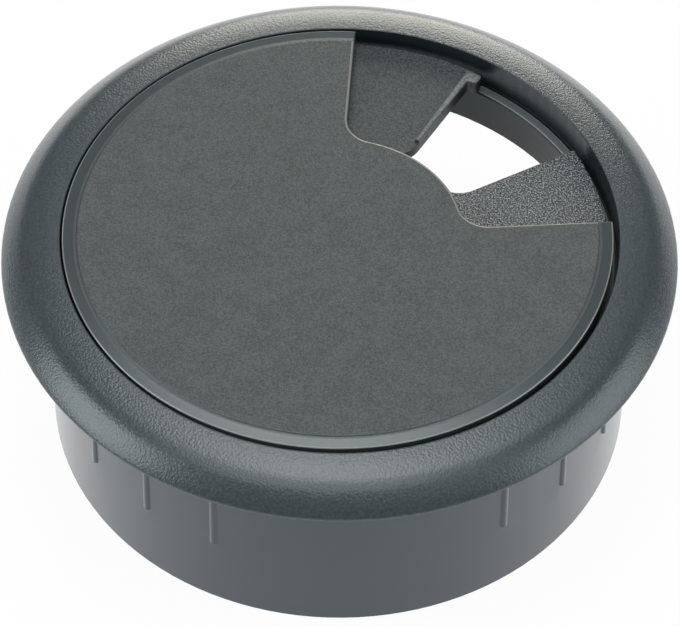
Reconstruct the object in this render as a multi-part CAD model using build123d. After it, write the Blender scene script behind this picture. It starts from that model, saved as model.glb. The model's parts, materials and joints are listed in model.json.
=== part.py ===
"""Desk cable grommet for a round hole in a worktop.

Three mouldings: the liner ring that lines the hole, the notched cover that drops into it, and the
shutter that turns under the cover to narrow or widen the cable opening.

Millimetres. The origin is on the ring's axis at the worktop's upper face, +Z up. Azimuths are in
degrees from +X towards +Y.
"""
import os
from math import cos, degrees, hypot, radians, sin, sqrt

from build123d import *

# Hole in the worktop, and the sleeve that lines it
hole_d = 60.0
sleeve_clear = 0.2
sleeve_depth = 22.35
sleeve_taper = 0.1
sleeve_lead_in = 0.4
sleeve_rim_wall = 1.8

# Flange that rests on the worktop
flange_d = 68.8
flange_height = 3.18
flange_crown = 0.095
flange_shoulder_inset = 2.45
flange_shoulder_height = 2.53
flange_shoulder_round = 4.0
flange_flank_bow = 0.1
flange_edge_height = 0.36
flange_edge_bevel = 0.12
mouth_bevel = 0.06

# Recess and ledge that carry the cover
recess_d = 56.66
recess_depth = 3.73
ledge_width = 1.3
ledge_groove_width = 0.35
ledge_groove_depth = 0.25
ledge_edge_bevel = 0.2

# Crush ribs on the sleeve, in groups a quarter turn apart
rib_width = 0.85
rib_proud = 0.22
rib_end_clear = 0.1
rib_length = 13.05
rib_group_azimuth = -40.2
rib_group_count = 3
ribs_per_group = 3
rib_pitch_deg = 15.6
quarter_turn = 90.0

# Relief in the sleeve behind the opening, for cables that leave sideways
relief_width = 26.0
relief_top = 5.55
relief_corner = 2.5
collar_land = 0.55

# Cover
cover_gap = 0.4
cover_shift = -0.2
cover_plate = 1.8
cover_rise = 0.34
cover_edge_bevel = 0.08
band_width = 1.5
band_step = 0.1
band_fall = 0.09
skirt_wall = 1.6
skirt_inset = 0.35
guide_wall = 1.4

# Notch in the cover and the fixed shelf below it
notch_start_deg = 3.8
notch_end_deg = 86.5
notch_inner_r = 12.8
notch_corner = 3.0
notch_edge_round = 0.4
shelf_end_deg = 28.3
shelf_root_deg = 6.0
shelf_drop = 0.2
shelf_edge_round = 0.25
shelf_rim_clear = 0.3
guide_overlap = 0.15

# Pivot pin under the cover
pin_d = 6.0
pin_clear = 0.06
boss_d = 10.0
snap_lip = 0.45
snap_height = 1.4
snap_nose_d = 5.0
snap_slot = 1.0

# Shutter
shutter_lead_deg = 59.0
shutter_span_deg = 62.0
shutter_plate = 1.1
shutter_rim_clear = 0.2
shutter_guide_clear = 0.35
nose_length = 0.95
nose_height = 1.7
nose_tip_round = 0.9
nose_root_round = 0.4
shutter_tail_corner = 1.0
lip_width_deg = 1.6
lip_height = 0.5
lip_flat = 0.04
lip_corner_gap = 0.05
lip_end_inset = 0.45
arm_wall = 1.3
arm_inset_deg = 11.0
arm_hub_d = 13.0
arm_clear = 0.2
head_clear = 0.2

# Worked-out sizes
sleeve_r = hole_d / 2 - sleeve_clear
flange_r = flange_d / 2
recess_r = recess_d / 2
ledge_z = flange_height - recess_depth
bore_r = recess_r - ledge_width
rim_r = sleeve_r - sleeve_taper
rim_inner_r = rim_r - sleeve_rim_wall
collar_height = relief_top - collar_land
cover_r = recess_r - cover_gap
cover_top = flange_height + cover_rise
cover_under = cover_top - cover_plate
shelf_top = cover_under - shelf_drop
guide_r = notch_inner_r + guide_overlap
shelf_r = cover_r - shelf_rim_clear
shutter_r = cover_r - shutter_rim_clear
shutter_inner_r = guide_r + shutter_guide_clear
lip_start_r = sqrt((shutter_inner_r + notch_corner) ** 2 - notch_corner**2) + lip_corner_gap
lip_edge_round = (lip_start_r * radians(lip_width_deg) - lip_flat) / 2
shutter_top = shelf_top
shutter_under = shutter_top - shutter_plate
arm_top = ledge_z - arm_clear
arm_under = arm_top - arm_wall
skirt_start_deg = notch_end_deg + shutter_span_deg
skirt_end_deg = 360.0 - shelf_root_deg + notch_start_deg
through = 2 * sleeve_depth


def polar(radius, azimuth):
    """Point at a radius and an azimuth."""
    return (radius * cos(radians(azimuth)), radius * sin(radians(azimuth)))


def sector(inner_r, outer_r, start_deg, end_deg):
    """Ring sector between two radii and two azimuths."""
    middle = (start_deg + end_deg) / 2
    outer = ThreePointArc(polar(outer_r, start_deg), polar(outer_r, middle), polar(outer_r, end_deg))
    inner = ThreePointArc(polar(inner_r, end_deg), polar(inner_r, middle), polar(inner_r, start_deg))
    sides = Line(inner @ 1, outer @ 0) + Line(outer @ 1, inner @ 0)
    return make_face(outer + sides + inner)


def round_corner(face, point, radius):
    """Round the corner of a face that lies nearest to a point."""
    corner = face.vertices().sort_by_distance((*point, 0))[0]
    return fillet(corner, radius)


def slab(face, low, high):
    """Plate with a plan outline between two heights."""
    return extrude(Pos(0, 0, low) * face, high - low)


def bowed(start, end, bow):
    """Arc between two points of a section that bulges to the left of its run."""
    run, climb = end[0] - start[0], end[1] - start[1]
    length = hypot(run, climb)
    middle_x = (start[0] + end[0]) / 2 - bow * climb / length
    middle_z = (start[1] + end[1]) / 2 + bow * run / length
    return ThreePointArc(start, (middle_x, middle_z), end)


def turned(outline):
    """Solid turned about the Z axis from a half section in the XZ plane."""
    return revolve(Plane.XZ * outline, Axis.Z)


def flange_and_sleeve():
    """Turned body of the liner: domed flange, recess, ledge, straight collar and tapering sleeve."""
    shoulder = (flange_r - flange_shoulder_inset, flange_shoulder_height)
    edge = (flange_r - flange_edge_bevel, flange_edge_height)
    mouth = (recess_r + mouth_bevel, flange_height)
    groove_r = recess_r - ledge_groove_width
    dome = bowed(mouth, shoulder, flange_crown)
    flank = bowed(shoulder, edge, flange_flank_bow)
    rest = Polyline(
        edge,
        (flange_r, flange_edge_height - 2 * flange_edge_bevel),
        (flange_r, 0),
        (sleeve_r, 0),
        (sleeve_r, -collar_height),
        (rim_r, sleeve_lead_in - sleeve_depth),
        (rim_r - sleeve_lead_in, -sleeve_depth),
        (rim_inner_r, -sleeve_depth),
        (bore_r, ledge_z - ledge_edge_bevel),
        (bore_r + ledge_edge_bevel, ledge_z),
        (groove_r, ledge_z),
        (groove_r, ledge_z - ledge_groove_depth),
        (recess_r, ledge_z - ledge_groove_depth),
        (recess_r, flange_height - mouth_bevel),
        mouth,
    )
    outline = make_face(dome + flank + rest)
    return turned(round_corner(outline, shoulder, flange_shoulder_round))


def crush_rib(azimuth):
    """Half-round upright rib with a rounded lower end, sunk into the sleeve wall."""
    radius = (rib_width**2 / 4 + rib_proud**2) / (2 * rib_proud)
    bar = slab(Pos(sleeve_r + rib_proud - radius, 0) * Circle(radius), -rib_length, 0)
    end = SlotOverall(2 * rib_length, 2 * (radius + rib_end_clear), rotation=90)
    return Rot(0, 0, azimuth) * (bar & extrude(Plane.YZ * end, flange_r))


def cable_relief():
    """Cutter for the U-shaped relief, open at the sleeve's lower rim."""
    height = through - relief_top
    window = RectangleRounded(relief_width, height, relief_corner)
    cutter = extrude(Plane.YZ * Pos(0, -relief_top - height / 2) * window, flange_r)
    return Rot(0, 0, rib_group_azimuth + quarter_turn) * cutter


def liner_ring():
    """Flange, sleeve, seat and ribs as one moulding."""
    body = flange_and_sleeve()
    first_rib = (1 - ribs_per_group) / 2
    for group in range(rib_group_count):
        for rib in range(ribs_per_group):
            step = (first_rib + rib) * rib_pitch_deg
            body += crush_rib(rib_group_azimuth - group * quarter_turn + step)
    return body - cable_relief()


def cover_disc():
    """Turned top plate: flat field, fine step, smooth falling band and bevelled edge."""
    field_r = cover_r - band_width
    band_top = cover_top - band_step
    band_end = band_top - band_fall
    outline = make_face(
        Polyline(
            (0, cover_under),
            (cover_r, cover_under),
            (cover_r, band_end - cover_edge_bevel),
            (cover_r - cover_edge_bevel, band_end),
            (field_r + band_step, band_top),
            (field_r, cover_top),
            (0, cover_top),
            (0, cover_under),
        )
    )
    return turned(outline)


def shelf_outline():
    """Plan of the fixed shelf, run into the round guide wall by a hollow corner."""
    shelf = sector(guide_r / 2, shelf_r, notch_start_deg - shelf_root_deg, shelf_end_deg)
    plan = Circle(guide_r) + shelf
    return round_corner(plan, polar(guide_r, shelf_end_deg), notch_corner)


def notch_outline():
    """Plan of the notch in the cover, with round inner corners."""
    plan = sector(notch_inner_r, flange_r, notch_start_deg, notch_end_deg)
    plan = round_corner(plan, polar(notch_inner_r, notch_start_deg), notch_corner)
    return round_corner(plan, polar(notch_inner_r, notch_end_deg), notch_corner)


def pivot_pin():
    """Boss, pin and split snap head on which the shutter turns."""
    pin_r = pin_d / 2
    head_top = arm_under - head_clear
    head_end = head_top - snap_height
    outline = make_face(
        Polyline(
            (0, cover_under),
            (boss_d / 2, cover_under),
            (boss_d / 2, ledge_z),
            (pin_r, ledge_z),
            (pin_r, head_top),
            (pin_r + snap_lip, head_top),
            (snap_nose_d / 2, head_end),
            (0, head_end),
            (0, cover_under),
        )
    )
    split = slab(Rectangle(boss_d, snap_slot), head_end, ledge_z)
    return turned(outline) - split


def cover_cap():
    """Notched disc with its shelf, skirt, guide wall and pivot pin as one moulding."""
    skirt_r = cover_r - skirt_inset
    skirt = sector(skirt_r - skirt_wall, skirt_r, skirt_start_deg, skirt_end_deg)
    cavity = slab(Circle(guide_r - guide_wall), ledge_z, cover_under)
    under = slab(shelf_outline(), ledge_z, cover_under) - cavity
    under += slab(skirt, ledge_z, cover_under)
    body = cover_disc() + under + pivot_pin()
    body -= slab(notch_outline(), shelf_top, cover_top + cover_plate)
    shelf_edge = body.edges().filter_by_position(Axis.Z, shelf_top, shelf_top).filter_by(GeomType.CIRCLE)
    body = fillet(shelf_edge.sort_by(SortBy.RADIUS)[-1], shelf_edge_round)
    notch_edges = body.faces().filter_by(Axis.Z).sort_by(Axis.Z)[-1].outer_wire().edges()
    field_r = cover_r - band_width
    inner = notch_edges.filter_by(lambda edge: edge.center().length < field_r - notch_corner)
    return fillet(inner, notch_edge_round)


def shutter_plan():
    """Plan of the shutter plate, with the corner that nests in the shelf's hollow corner."""
    tail_deg = shutter_lead_deg + shutter_span_deg
    nose_r = shutter_r - nose_height
    nose_deg = shutter_lead_deg - degrees(nose_length / nose_r)
    plan = sector(shutter_inner_r, shutter_r, shutter_lead_deg, tail_deg)
    plan += sector(nose_r, shutter_r, nose_deg, tail_deg)
    plan = round_corner(plan, polar(shutter_inner_r, shutter_lead_deg), notch_corner)
    plan = round_corner(plan, polar(nose_r, shutter_lead_deg), nose_root_round)
    plan = round_corner(plan, polar(nose_r, nose_deg), nose_root_round)
    plan = round_corner(plan, polar(shutter_r, nose_deg), nose_tip_round)
    plan = round_corner(plan, polar(shutter_r, tail_deg), shutter_tail_corner)
    return round_corner(plan, polar(shutter_inner_r, tail_deg), shutter_tail_corner)


def finger_lip(plan):
    """Raised strip along the leading edge, clear of the plate's inner corner."""
    lip_end_deg = shutter_lead_deg + lip_width_deg
    strip = plan & sector(lip_start_r, shutter_r - lip_end_inset, notch_start_deg, lip_end_deg)
    lip = slab(strip, shutter_top, shutter_top + lip_height)
    return fillet(lip.faces().sort_by(Axis.Z)[-1].edges(), lip_edge_round)


def shutter_arm():
    """Arm that drops behind the guide wall and runs in to the pivot pin."""
    start = shutter_lead_deg + arm_inset_deg
    end = shutter_lead_deg + shutter_span_deg - arm_inset_deg
    arm_r = shutter_inner_r + arm_wall
    drop = slab(sector(shutter_inner_r, arm_r, start, end), arm_under, shutter_under)
    plan = sector(pin_d / 2, arm_r, start, end) + Circle(arm_hub_d / 2)
    plan -= Circle(pin_d / 2 + pin_clear)
    return slab(plan, arm_under, arm_top) + drop


def rotary_shutter():
    """Shutter plate, finger lip and arm as one moulding."""
    plan = shutter_plan()
    return slab(plan, shutter_under, shutter_top) + finger_lip(plan) + shutter_arm()


def main():
    """Build the three mouldings in place and write one file for each."""
    os.makedirs("parts", exist_ok=True)
    seat = Pos(cover_shift, 0, 0)
    pieces = {
        "liner_ring": liner_ring(),
        "cover_cap": seat * cover_cap(),
        "rotary_shutter": seat * rotary_shutter(),
    }
    for name, solid in pieces.items():
        export_step(solid, f"parts/{name}.step")


main()
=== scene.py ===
"""Looks of a desk cable grommet: moulded finishes, floor, studio light and the photograph's camera."""
import json
import math

import bpy
from mathutils import Matrix, Vector


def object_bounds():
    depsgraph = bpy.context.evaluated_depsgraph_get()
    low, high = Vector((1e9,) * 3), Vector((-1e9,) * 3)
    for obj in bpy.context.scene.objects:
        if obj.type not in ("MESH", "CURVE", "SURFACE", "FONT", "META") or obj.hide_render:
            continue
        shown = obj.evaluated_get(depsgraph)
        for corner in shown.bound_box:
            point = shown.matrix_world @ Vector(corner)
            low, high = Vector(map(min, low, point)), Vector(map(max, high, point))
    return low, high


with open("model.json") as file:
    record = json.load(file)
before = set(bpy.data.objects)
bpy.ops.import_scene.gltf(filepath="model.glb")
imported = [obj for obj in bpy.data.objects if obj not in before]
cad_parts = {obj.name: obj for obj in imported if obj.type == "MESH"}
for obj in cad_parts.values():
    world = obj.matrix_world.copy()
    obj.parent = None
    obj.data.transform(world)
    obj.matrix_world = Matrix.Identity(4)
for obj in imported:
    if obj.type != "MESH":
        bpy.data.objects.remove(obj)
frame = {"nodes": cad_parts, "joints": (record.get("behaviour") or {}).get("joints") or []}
cad_low, cad_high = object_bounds()

MM = 0.001

# Shading of the solids
WELD_DISTANCE = 0.002 * MM
EDGE_ANGLE = math.radians(30)
EDGE_ROUND = 0.09 * MM
EDGE_SAMPLES = 4

# Borders between finishes, in millimetres in the frame of the part
FLANGE_INNER_R = 28.4
FLANGE_LOW = 0.02
LEDGE_TOP = -0.55
LEDGE_EDGE_R = 27.13
GROOVE_R = 27.98
FIELD_R = 26.43
RIM_R = 27.87
COVER_TOP = cad_high.z / MM
BAND_LOW = COVER_TOP - 0.32
SHELF_TOP = COVER_TOP - 2.0
LIP_TOP = SHELF_TOP + 0.5

# Widths of the changes from one finish to the next, and of the painted highlight lines, in millimetres
BORDER_BLEND = 0.12
LEDGE_BLEND = 0.1
STEP_WIDTH = 0.1
BAND_BLEND = 0.6
BAND_LOW_BLEND = 0.05
LIP_FOOT = 0.2
HIGHLIGHT_LINE = 0.1
HIGHLIGHT_INNER_LINE = 0.12
LINE_CORE = 0.3

# Depths below the cover's top, and heights against the shelf's top, where a change starts and ends
FIELD_END = (0.03, 0.01)
NOTCH_HIGHLIGHT_START = (0.004, 0.012)
NOTCH_HIGHLIGHT_END = (0.1, 0.16)
SHELF_END = (0.02, 0.1)
SHUTTER_SHADE_SPAN = (-0.12, -0.03)

# Noise patterns: size in millimetres, detail and roughness
FLANGE_FINE = (0.16, 2.0, 0.5)
SHUTTER_FINE = (0.14, 2.0, 0.5)
LINER_CLOUD = (9.0, 2.0, 0.5)
COVER_CLOUD = (2.5, 3.0, 0.5)
MATT_NOISE = (0.15, 2.0, 0.6)
SPARK_NOISE = (0.17, 2.0, 0.65)
PATCH_NOISE = (0.5, 3.0, 0.5)
PATCH_RANGE = (0.2, 0.8)

# Leather grain: size of a pebble and how far its outline wanders, in millimetres
FLANGE_PEBBLE = (0.25, 0.16)
SHUTTER_PEBBLE = (0.21, 0.14)
PEBBLE_SMOOTHNESS = 0.6
FINE_SHARE = 0.6
CREST = (0.6, 1.15)

# Depth in millimetres and strength of each texture
FLANGE_RELIEF = (0.024, 0.85)
SHUTTER_RELIEF = (0.03, 0.85)
MATT_RELIEF = (0.04, 0.8)
SPARK_RELIEF = (0.2, 1.0)

# Gloss and roughness
COOL = (0.8, 0.95, 1, 1)
NEUTRAL = (0.89, 0.975, 1, 1)
LINER_GLOSS = 0.35
COVER_GLOSS = 0.85
SHUTTER_GLOSS = 0.6
COAT_WEIGHT = 0.8
COAT_ROUGHNESS = 0.28
SLEEVE_ROUGHNESS = 0.24
BORE_ROUGHNESS = 0.4
FLANGE_ROUGHNESS = 0.3
FLANGE_SPREAD = 0.03
BAND_ROUGHNESS = 0.2
FIELD_ROUGHNESS = 0.55
SHELF_ROUGHNESS = 0.4
SHUTTER_ROUGHNESS = (0.38, 0.46)

# Colours of the liner
SLEEVE_DARK = (0.012, 0.025, 0.042, 1)
SLEEVE_LIGHT = (0.016, 0.03, 0.048, 1)
# Bore and recess darkened as painted shade, with a little random variation
SHADED_BORE_DARK = (0.013, 0.018, 0.015, 1)
SHADED_BORE_LIGHT = (0.019, 0.025, 0.021, 1)
FLANGE_VALLEY = (0.04, 0.053, 0.06, 1)
FLANGE_CREST = (0.06, 0.073, 0.08, 1)
# Painted reflection that lightens the ledge top
LEDGE_PAINTED_REFLECTION = (0.1, 0.116, 0.116, 1)
# Painted highlight lines along the ledge's edges
LEDGE_PAINTED_HIGHLIGHT = (0.3, 0.32, 0.33, 1)

# Colours of the cover
BAND_DARK = (0.045, 0.058, 0.061, 1)
BAND_LIGHT = (0.053, 0.066, 0.069, 1)
BAND_FADE = 0.7
FIELD_DARK = (0.0, 0.003, 0.005, 1)
FIELD_LIGHT = (0.053, 0.066, 0.069, 1)
FIELD_CLOUDS = 0.12
FIELD_SPECK = (0.36, 0.76)
SHELF_DARK = (0.002, 0.003, 0.004, 1)
# Light speckles on the shelf are painted glints on a dark base tone
SHELF_PAINTED_GLINT = (0.285, 0.32, 0.335, 1)
SHELF_GLINT = (0.48, 0.6)
# Painted highlight on the band's rounded rim
RIM_PAINTED_HIGHLIGHT = (0.24, 0.245, 0.245, 1)
# Painted highlight on the notch's rounded upper edge
NOTCH_PAINTED_HIGHLIGHT = (0.25, 0.25, 0.24, 1)

# Colours of the shutter
SHUTTER_VALLEY = (0.022, 0.026, 0.028, 1)
SHUTTER_CREST = (0.066, 0.071, 0.073, 1)
# Painted highlight on the lip, strongest on the grain's crests
LIP_PAINTED_HIGHLIGHT = (0.18, 0.188, 0.192, 1)
LIP_VALLEY_SHARE = 0.5
# Painted shade on the shutter's sides
SIDE_PAINTED_SHADE = (0.008, 0.009, 0.01, 1)

# Camera that took the photograph
CAMERA_TARGET = Vector((0.093, -8.051, 0.3)) * MM
CAMERA_DISTANCE = 550 * MM
CAMERA_ELEVATION = math.radians(50.04)
CAMERA_ROLL = math.radians(0.462)
CAMERA_LENS = 289.0

# Stage, in metres
FLOOR_SIZE = 8.0
FLOOR_GAP = 0.02 * MM
FLOOR_COLOUR = (0.9, 0.9, 0.9, 1)
FLOOR_GLOW = 0.96
ROOM_COLOUR = (0.078, 0.08, 0.083, 1)
WHITE = (1, 1, 1, 1)
BOX_DISTANCE = 1.0
PLAIN_LIGHT = (1.0, 0.99, 0.98)
STRIP_LIGHT = (1.0, 0.97, 0.93)
WARM_LIGHT = (1.0, 0.945, 0.84)
LEFT_LIGHT = (0.94, 0.98, 1.0)
RIGHT_LIGHT = (0.95, 0.99, 1.0)


def node(tree, kind, sockets=None, **settings):
    """Add a shader node; each socket gets a constant or the output of another node."""
    made = tree.nodes.new("ShaderNode" + kind)
    for name, value in settings.items():
        setattr(made, name, value)
    for name, value in (sockets or {}).items():
        if isinstance(value, bpy.types.NodeSocket):
            tree.links.new(value, made.inputs[name])
        else:
            made.inputs[name].default_value = value
    return made


def math_node(tree, operation, first, second=0.0):
    """Result of one sum on two values."""
    return node(tree, "Math", {0: first, 1: second}, operation=operation).outputs[0]


def ramp(tree, value, low, high, from_value=0.0, to_value=1.0):
    """Smooth change from one value to another as the input goes from low to high."""
    sockets = {
        "Value": value,
        "From Min": low,
        "From Max": high,
        "To Min": from_value,
        "To Max": to_value,
    }
    return node(tree, "MapRange", sockets, interpolation_type="SMOOTHSTEP").outputs[0]


def fall(tree, value, low, high):
    """Smooth change from 1 to 0 as the input goes from low to high."""
    return ramp(tree, value, low, high, 1.0, 0.0)


def line_at(tree, value, centre, width):
    """Mask that is 1 in a narrow stretch around a value."""
    away = math_node(tree, "ABSOLUTE", math_node(tree, "SUBTRACT", value, centre))
    return fall(tree, away, width * LINE_CORE, width)


def mix(tree, factor, first, second):
    """First value where the factor is 0, second where it is 1."""
    return node(tree, "Mix", {0: factor, 2: first, 3: second}, data_type="FLOAT").outputs[0]


def mix_colour(tree, factor, first, second):
    """First colour where the factor is 0, second where it is 1."""
    return node(tree, "Mix", {0: factor, 6: first, 7: second}, data_type="RGBA").outputs[2]


def noise(tree, place, size_mm, detail, roughness):
    """Cloudy noise with features of about that size, from 0 to 1."""
    sockets = {"Vector": place, "Scale": 1 / (size_mm * MM), "Detail": detail, "Roughness": roughness}
    return node(tree, "TexNoise", sockets).outputs[0]


def uneven(tree, place, low, high):
    """Value that wanders between two limits over the surface."""
    return ramp(tree, noise(tree, place, *PATCH_NOISE), *PATCH_RANGE, low, high)


def pebbles(tree, place, size_mm, wobble_mm):
    """Rounded pebbles of about that size, as in a leather grain, high in their middle."""
    bend = node(tree, "TexNoise", {"Vector": place, "Scale": 1 / (size_mm * MM), "Detail": 1.0})
    shift = node(tree, "VectorMath", {0: bend.outputs[1], 1: (0.5, 0.5, 0.5)}, operation="SUBTRACT")
    scaled = node(tree, "VectorMath", {0: shift.outputs[0], 3: wobble_mm * MM}, operation="SCALE")
    moved = node(tree, "VectorMath", {0: place, 1: scaled.outputs[0]}, operation="ADD")
    sockets = {"Vector": moved.outputs[0], "Scale": 1 / (size_mm * MM), "Smoothness": PEBBLE_SMOOTHNESS}
    cells = node(tree, "TexVoronoi", sockets, feature="SMOOTH_F1")
    return math_node(tree, "SUBTRACT", 1.0, cells.outputs[0])


def leather_grain(tree, place, pebble, fine):
    """Height of a leather grain: pebbles with finer noise on them."""
    small = math_node(tree, "MULTIPLY", noise(tree, place, *fine), FINE_SHARE)
    return math_node(tree, "ADD", pebbles(tree, place, *pebble), small)


def rounded(tree):
    """Surface normal with the sharp moulded edges rounded a little."""
    return node(tree, "Bevel", {"Radius": EDGE_ROUND}, samples=EDGE_SAMPLES).outputs[0]


def bump(tree, height, depth_mm, strength, under):
    """Surface normal of a height map of that depth, on top of another surface normal."""
    sockets = {"Height": height, "Distance": depth_mm * MM, "Strength": strength, "Normal": under}
    return node(tree, "Bump", sockets).outputs[0]


def height_of(tree, place):
    """Height in millimetres."""
    return math_node(tree, "DIVIDE", node(tree, "SeparateXYZ", {0: place}).outputs["Z"], MM)


def radius_of(tree, place, axis_x=0.0):
    """Distance from an upright axis, in millimetres."""
    shifted = node(tree, "VectorMath", {0: place, 1: (axis_x, 0, 0)}, operation="SUBTRACT").outputs[0]
    flat = node(tree, "VectorMath", {0: shifted, 1: (1, 1, 0)}, operation="MULTIPLY").outputs[0]
    length = node(tree, "VectorMath", {0: flat}, operation="LENGTH").outputs["Value"]
    return math_node(tree, "DIVIDE", length, MM)


def plastic(name, gloss, tint):
    """New material with its node tree, its surface shader and its place in the part."""
    made = bpy.data.materials.new(name)
    made.use_nodes = True
    tree = made.node_tree
    shader = tree.nodes["Principled BSDF"]
    shader.inputs["Specular IOR Level"].default_value = gloss
    shader.inputs["Specular Tint"].default_value = tint
    place = node(tree, "TexCoord").outputs["Object"]
    return made, tree, shader, place


def bore_colour(tree, cloud, radius, height):
    """Bore and recess darkened as painted shade, with a painted reflection lightening the ledge and
    painted highlight lines along its edges.
    """
    # Painted shade: the bore and recess are darker than the sleeve of the same moulding
    shaded_bore = mix_colour(tree, cloud, SHADED_BORE_DARK, SHADED_BORE_LIGHT)
    on_ledge = line_at(tree, height, LEDGE_TOP, HIGHLIGHT_LINE)
    past_edge = ramp(tree, radius, LEDGE_EDGE_R - LEDGE_BLEND, LEDGE_EDGE_R)
    inner_edge = line_at(tree, radius, LEDGE_EDGE_R, HIGHLIGHT_INNER_LINE)
    outer_edge = line_at(tree, radius, GROOVE_R, HIGHLIGHT_LINE)
    # Painted reflection on the ledge top
    reflection_patch = math_node(tree, "MULTIPLY", on_ledge, past_edge)
    # Painted highlight lines along the ledge's edges
    edges = math_node(tree, "MAXIMUM", inner_edge, outer_edge)
    highlight_lines = math_node(tree, "MULTIPLY", edges, on_ledge)
    colour = mix_colour(tree, reflection_patch, shaded_bore, LEDGE_PAINTED_REFLECTION)
    return mix_colour(tree, highlight_lines, colour, LEDGE_PAINTED_HIGHLIGHT)


def liner_finish():
    """Leather grain on the flange, smooth satin on the sleeve, and an inside darkened as painted shade.
    """
    made, tree, shader, place = plastic("liner_finish", LINER_GLOSS, COOL)
    shader.inputs["Coat Roughness"].default_value = COAT_ROUGHNESS
    radius = radius_of(tree, place)
    height = height_of(tree, place)
    on_flange = ramp(tree, radius, FLANGE_INNER_R, FLANGE_INNER_R + BORDER_BLEND)
    above = ramp(tree, height, FLANGE_LOW, FLANGE_LOW + BORDER_BLEND)
    grained = math_node(tree, "MULTIPLY", on_flange, above)
    inside = fall(tree, radius, FLANGE_INNER_R - BORDER_BLEND, FLANGE_INNER_R)

    relief = leather_grain(tree, place, FLANGE_PEBBLE, FLANGE_FINE)
    masked = math_node(tree, "MULTIPLY", relief, grained)
    surface = bump(tree, masked, *FLANGE_RELIEF, rounded(tree))
    tree.links.new(surface, shader.inputs["Normal"])
    tree.links.new(surface, shader.inputs["Coat Normal"])
    tree.links.new(mix(tree, inside, COAT_WEIGHT, 0.0), shader.inputs["Coat Weight"])

    cloud = noise(tree, place, *LINER_CLOUD)
    sleeve = mix_colour(tree, cloud, SLEEVE_DARK, SLEEVE_LIGHT)
    flange = mix_colour(tree, ramp(tree, relief, *CREST), FLANGE_VALLEY, FLANGE_CREST)
    smooth_part = mix_colour(tree, inside, sleeve, bore_colour(tree, cloud, radius, height))
    tree.links.new(mix_colour(tree, grained, smooth_part, flange), shader.inputs["Base Color"])

    rough = mix(tree, inside, SLEEVE_ROUGHNESS, BORE_ROUGHNESS)
    rough = mix(tree, grained, rough, FLANGE_ROUGHNESS)
    rough = math_node(tree, "ADD", rough, uneven(tree, place, -FLANGE_SPREAD, FLANGE_SPREAD))
    tree.links.new(rough, shader.inputs["Roughness"])
    return made


def field_mask(tree, inside, radius, height, high):
    """Mask of the matt field, which fades out over the inner part of the band."""
    field_start, field_full = FIELD_END
    on_top = ramp(tree, height, COVER_TOP - field_start, COVER_TOP - field_full)
    flat = math_node(tree, "MULTIPLY", inside, on_top)
    fade = ramp(tree, radius, FIELD_R, FIELD_R + BAND_BLEND, BAND_FADE, 0.0)
    on_band = math_node(tree, "SUBTRACT", high, inside)
    return math_node(tree, "MAXIMUM", flat, math_node(tree, "MULTIPLY", fade, on_band))


def notch_highlight(tree, inside, height):
    """Mask of the painted highlight on the rounded upper edge of the notch, just below the cover's top.
    """
    below = math_node(tree, "SUBTRACT", COVER_TOP, height)
    start = ramp(tree, below, *NOTCH_HIGHLIGHT_START)
    end = fall(tree, below, *NOTCH_HIGHLIGHT_END)
    return math_node(tree, "MULTIPLY", math_node(tree, "MULTIPLY", start, end), inside)


def cover_finish(axis_x):
    """Fine matt field, smooth border band, painted highlights on the rim and on the notch's upper edge,
    and a coarse spark texture with painted glints on the shelf.
    """
    made, tree, shader, place = plastic("cover_finish", COVER_GLOSS, NEUTRAL)
    radius = radius_of(tree, place, axis_x)
    height = height_of(tree, place)
    inside = fall(tree, radius, FIELD_R - STEP_WIDTH, FIELD_R)
    high = ramp(tree, height, BAND_LOW, BAND_LOW + BAND_LOW_BLEND)
    field = field_mask(tree, inside, radius, height, high)
    shelf_start, shelf_end = SHELF_END
    shelf = fall(tree, height, SHELF_TOP + shelf_start, SHELF_TOP + shelf_end)
    # Painted highlight line along the band's rounded rim
    rim = math_node(tree, "MULTIPLY", line_at(tree, radius, RIM_R, HIGHLIGHT_LINE), high)

    matt = noise(tree, place, *MATT_NOISE)
    spark = noise(tree, place, *SPARK_NOISE)
    fine = bump(tree, math_node(tree, "MULTIPLY", matt, field), *MATT_RELIEF, rounded(tree))
    coarse = bump(tree, math_node(tree, "MULTIPLY", spark, shelf), *SPARK_RELIEF, fine)
    tree.links.new(coarse, shader.inputs["Normal"])

    cloud = noise(tree, place, *COVER_CLOUD)
    band_colour = mix_colour(tree, cloud, BAND_DARK, BAND_LIGHT)
    mottle = math_node(tree, "ADD", matt, math_node(tree, "MULTIPLY", cloud, FIELD_CLOUDS))
    field_colour = mix_colour(tree, ramp(tree, mottle, *FIELD_SPECK), FIELD_DARK, FIELD_LIGHT)
    # Light speckles on the shelf are painted glints
    shelf_colour = mix_colour(tree, ramp(tree, spark, *SHELF_GLINT), SHELF_DARK, SHELF_PAINTED_GLINT)
    colour = mix_colour(tree, field, band_colour, field_colour)
    colour = mix_colour(tree, shelf, colour, shelf_colour)
    # Painted highlights on the rim and on the notch's upper edge
    colour = mix_colour(tree, rim, colour, RIM_PAINTED_HIGHLIGHT)
    colour = mix_colour(tree, notch_highlight(tree, inside, height), colour, NOTCH_PAINTED_HIGHLIGHT)
    tree.links.new(colour, shader.inputs["Base Color"])

    rough = mix(tree, field, BAND_ROUGHNESS, FIELD_ROUGHNESS)
    rough = mix(tree, shelf, rough, SHELF_ROUGHNESS)
    tree.links.new(rough, shader.inputs["Roughness"])
    return made


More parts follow.
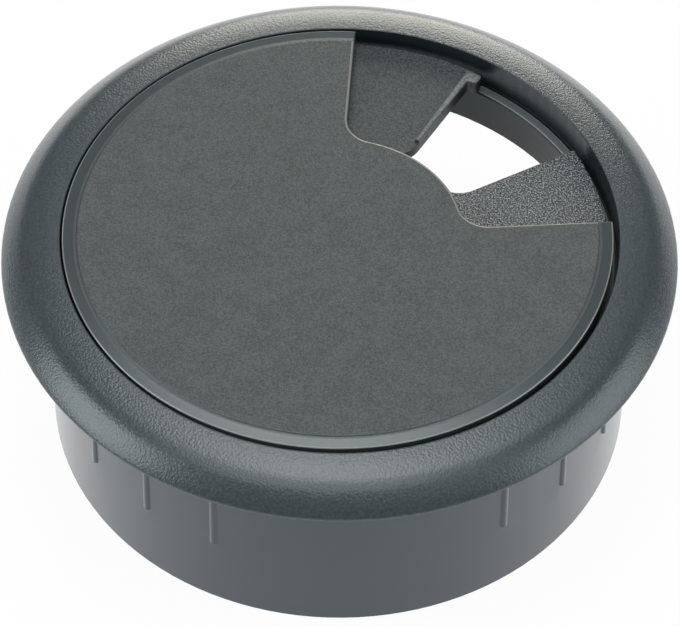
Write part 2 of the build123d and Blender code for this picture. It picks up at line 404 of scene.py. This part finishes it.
def shutter_finish():
    """Leather grain, finer than the one on the flange, painted shade on the sides and a painted highlight
    on the lip.
    """
    made, tree, shader, place = plastic("shutter_finish", SHUTTER_GLOSS, COOL)
    height = height_of(tree, place)
    # Painted shade on the sides below the shelf's top
    side_start, side_end = SHUTTER_SHADE_SPAN
    side = fall(tree, height, SHELF_TOP + side_start, SHELF_TOP + side_end)
    on_lip = ramp(tree, height, SHELF_TOP + LIP_FOOT, LIP_TOP)

    relief = leather_grain(tree, place, SHUTTER_PEBBLE, SHUTTER_FINE)
    surface = bump(tree, relief, *SHUTTER_RELIEF, rounded(tree))
    tree.links.new(surface, shader.inputs["Normal"])

    # Painted highlight on the lip, strongest on the grain's crests
    highlight_share = ramp(tree, relief, *CREST, LIP_VALLEY_SHARE, 1.0)
    lip_highlight = math_node(tree, "MULTIPLY", on_lip, highlight_share)
    colour = mix_colour(tree, ramp(tree, relief, *CREST), SHUTTER_VALLEY, SHUTTER_CREST)
    colour = mix_colour(tree, lip_highlight, colour, LIP_PAINTED_HIGHLIGHT)
    colour = mix_colour(tree, side, colour, SIDE_PAINTED_SHADE)
    tree.links.new(colour, shader.inputs["Base Color"])
    tree.links.new(uneven(tree, place, *SHUTTER_ROUGHNESS), shader.inputs["Roughness"])
    return made


def smooth(solid):
    """Shade gentle bends as one surface, and keep the true edges sharp."""
    weld = solid.modifiers.new("weld", "WELD")
    weld.merge_threshold = WELD_DISTANCE
    edges = solid.modifiers.new("edges", "EDGE_SPLIT")
    edges.split_angle = EDGE_ANGLE
    edges.use_edge_sharp = False
    normals = solid.modifiers.new("normals", "WEIGHTED_NORMAL")
    normals.mode = "FACE_AREA_WITH_ANGLE"


def dress(node_name, material):
    """Give a solid its finish."""
    solid = frame["nodes"][node_name]
    solid.data.materials.clear()
    solid.data.materials.append(material)
    smooth(solid)


def background_share(tree, share):
    """The share for what is seen directly, in a gloss or through a clear surface; 0 for other light."""
    path = node(tree, "LightPath")
    seen = math_node(tree, "MAXIMUM", path.outputs["Is Camera Ray"], path.outputs["Is Glossy Ray"])
    seen = math_node(tree, "MAXIMUM", seen, path.outputs["Is Transmission Ray"])
    return math_node(tree, "MULTIPLY", seen, share)


def floor():
    """Pale floor just under the sleeve's lower rim."""
    bpy.ops.mesh.primitive_plane_add(size=FLOOR_SIZE, location=(0, 0, cad_low.z - FLOOR_GAP))
    plane = bpy.context.object
    plane.name = "floor"
    made = bpy.data.materials.new("floor")
    made.use_nodes = True
    tree = made.node_tree
    tree.nodes.clear()
    matt = node(tree, "BsdfDiffuse", {"Color": FLOOR_COLOUR})
    glow = node(tree, "Emission", {"Color": WHITE, "Strength": 1.0})
    share = background_share(tree, FLOOR_GLOW)
    both = node(tree, "MixShader", {0: share, 1: matt.outputs[0], 2: glow.outputs[0]})
    output = node(tree, "OutputMaterial")
    tree.links.new(both.outputs[0], output.inputs["Surface"])
    plane.data.materials.append(made)


def room():
    """Even grey room light, with a white background for the camera."""
    world = bpy.data.worlds.new("studio")
    world.use_nodes = True
    tree = world.node_tree
    tree.nodes.clear()
    light = node(tree, "Background", {"Color": ROOM_COLOUR, "Strength": 1.0})
    white = node(tree, "Background", {"Color": WHITE, "Strength": 1.0})
    seen = node(tree, "LightPath").outputs["Is Camera Ray"]
    both = node(tree, "MixShader", {0: seen, 1: light.outputs[0], 2: white.outputs[0]})
    output = node(tree, "OutputWorld")
    tree.links.new(both.outputs[0], output.inputs["Surface"])
    bpy.context.scene.world = world


def softbox(name, colour, azimuth, elevation, width, length, brightness):
    """Rectangular soft light that faces the part from a direction in degrees; brightness 1 is white."""
    light = bpy.data.lights.new(name, "AREA")
    light.shape = "RECTANGLE"
    light.size = width
    light.size_y = length
    light.energy = math.pi * width * length * brightness
    light.color = colour
    turn = math.radians(azimuth)
    tilt = math.radians(elevation)
    out = Vector((math.cos(turn) * math.cos(tilt), math.sin(turn) * math.cos(tilt), math.sin(tilt)))
    lamp = bpy.data.objects.new(name, light)
    lamp.location = out * BOX_DISTANCE
    lamp.rotation_mode = "QUATERNION"
    lamp.rotation_quaternion = (-out).to_track_quat("-Z", "Y")
    bpy.context.scene.collection.objects.link(lamp)


def lights():
    """Ceiling, strip above the back, box behind, one box at each side and a weak one in front."""
    softbox("ceiling", PLAIN_LIGHT, azimuth=250, elevation=84, width=0.85, length=1.15, brightness=1.75)
    softbox("top_strip", STRIP_LIGHT, azimuth=95, elevation=74.6, width=0.3, length=0.62, brightness=3.7)
    softbox("back_box", WARM_LIGHT, azimuth=86, elevation=16.5, width=0.47, length=0.54, brightness=5.1)
    softbox("left_box", LEFT_LIGHT, azimuth=192.5, elevation=25, width=0.66, length=0.56, brightness=4.1)
    softbox("right_box", RIGHT_LIGHT, azimuth=350, elevation=20, width=0.84, length=0.54, brightness=2.5)
    softbox("front_fill", PLAIN_LIGHT, azimuth=315, elevation=52, width=0.55, length=0.5, brightness=0.75)


def camera():
    """Camera at the angle, distance and roll of the photograph."""
    data = bpy.data.cameras.new("camera")
    data.lens = CAMERA_LENS
    data.clip_start = CAMERA_DISTANCE / 10
    view = bpy.data.objects.new("camera", data)
    back = Vector((0, -math.cos(CAMERA_ELEVATION), math.sin(CAMERA_ELEVATION)))
    turn = (-back).to_track_quat("-Z", "Y").to_matrix().to_4x4()
    roll = Matrix.Rotation(CAMERA_ROLL, 4, "Z")
    view.matrix_world = Matrix.Translation(CAMERA_TARGET + back * CAMERA_DISTANCE) @ turn @ roll
    bpy.context.scene.collection.objects.link(view)
    bpy.context.scene.camera = view


cover_axis_x = frame["joints"][0]["pos_m"][0]
dress("liner_ring", liner_finish())
dress("cover_cap", cover_finish(cover_axis_x))
dress("rotary_shutter", shutter_finish())
floor()
room()
lights()
camera()
bpy.context.scene.view_settings.view_transform = "Standard"
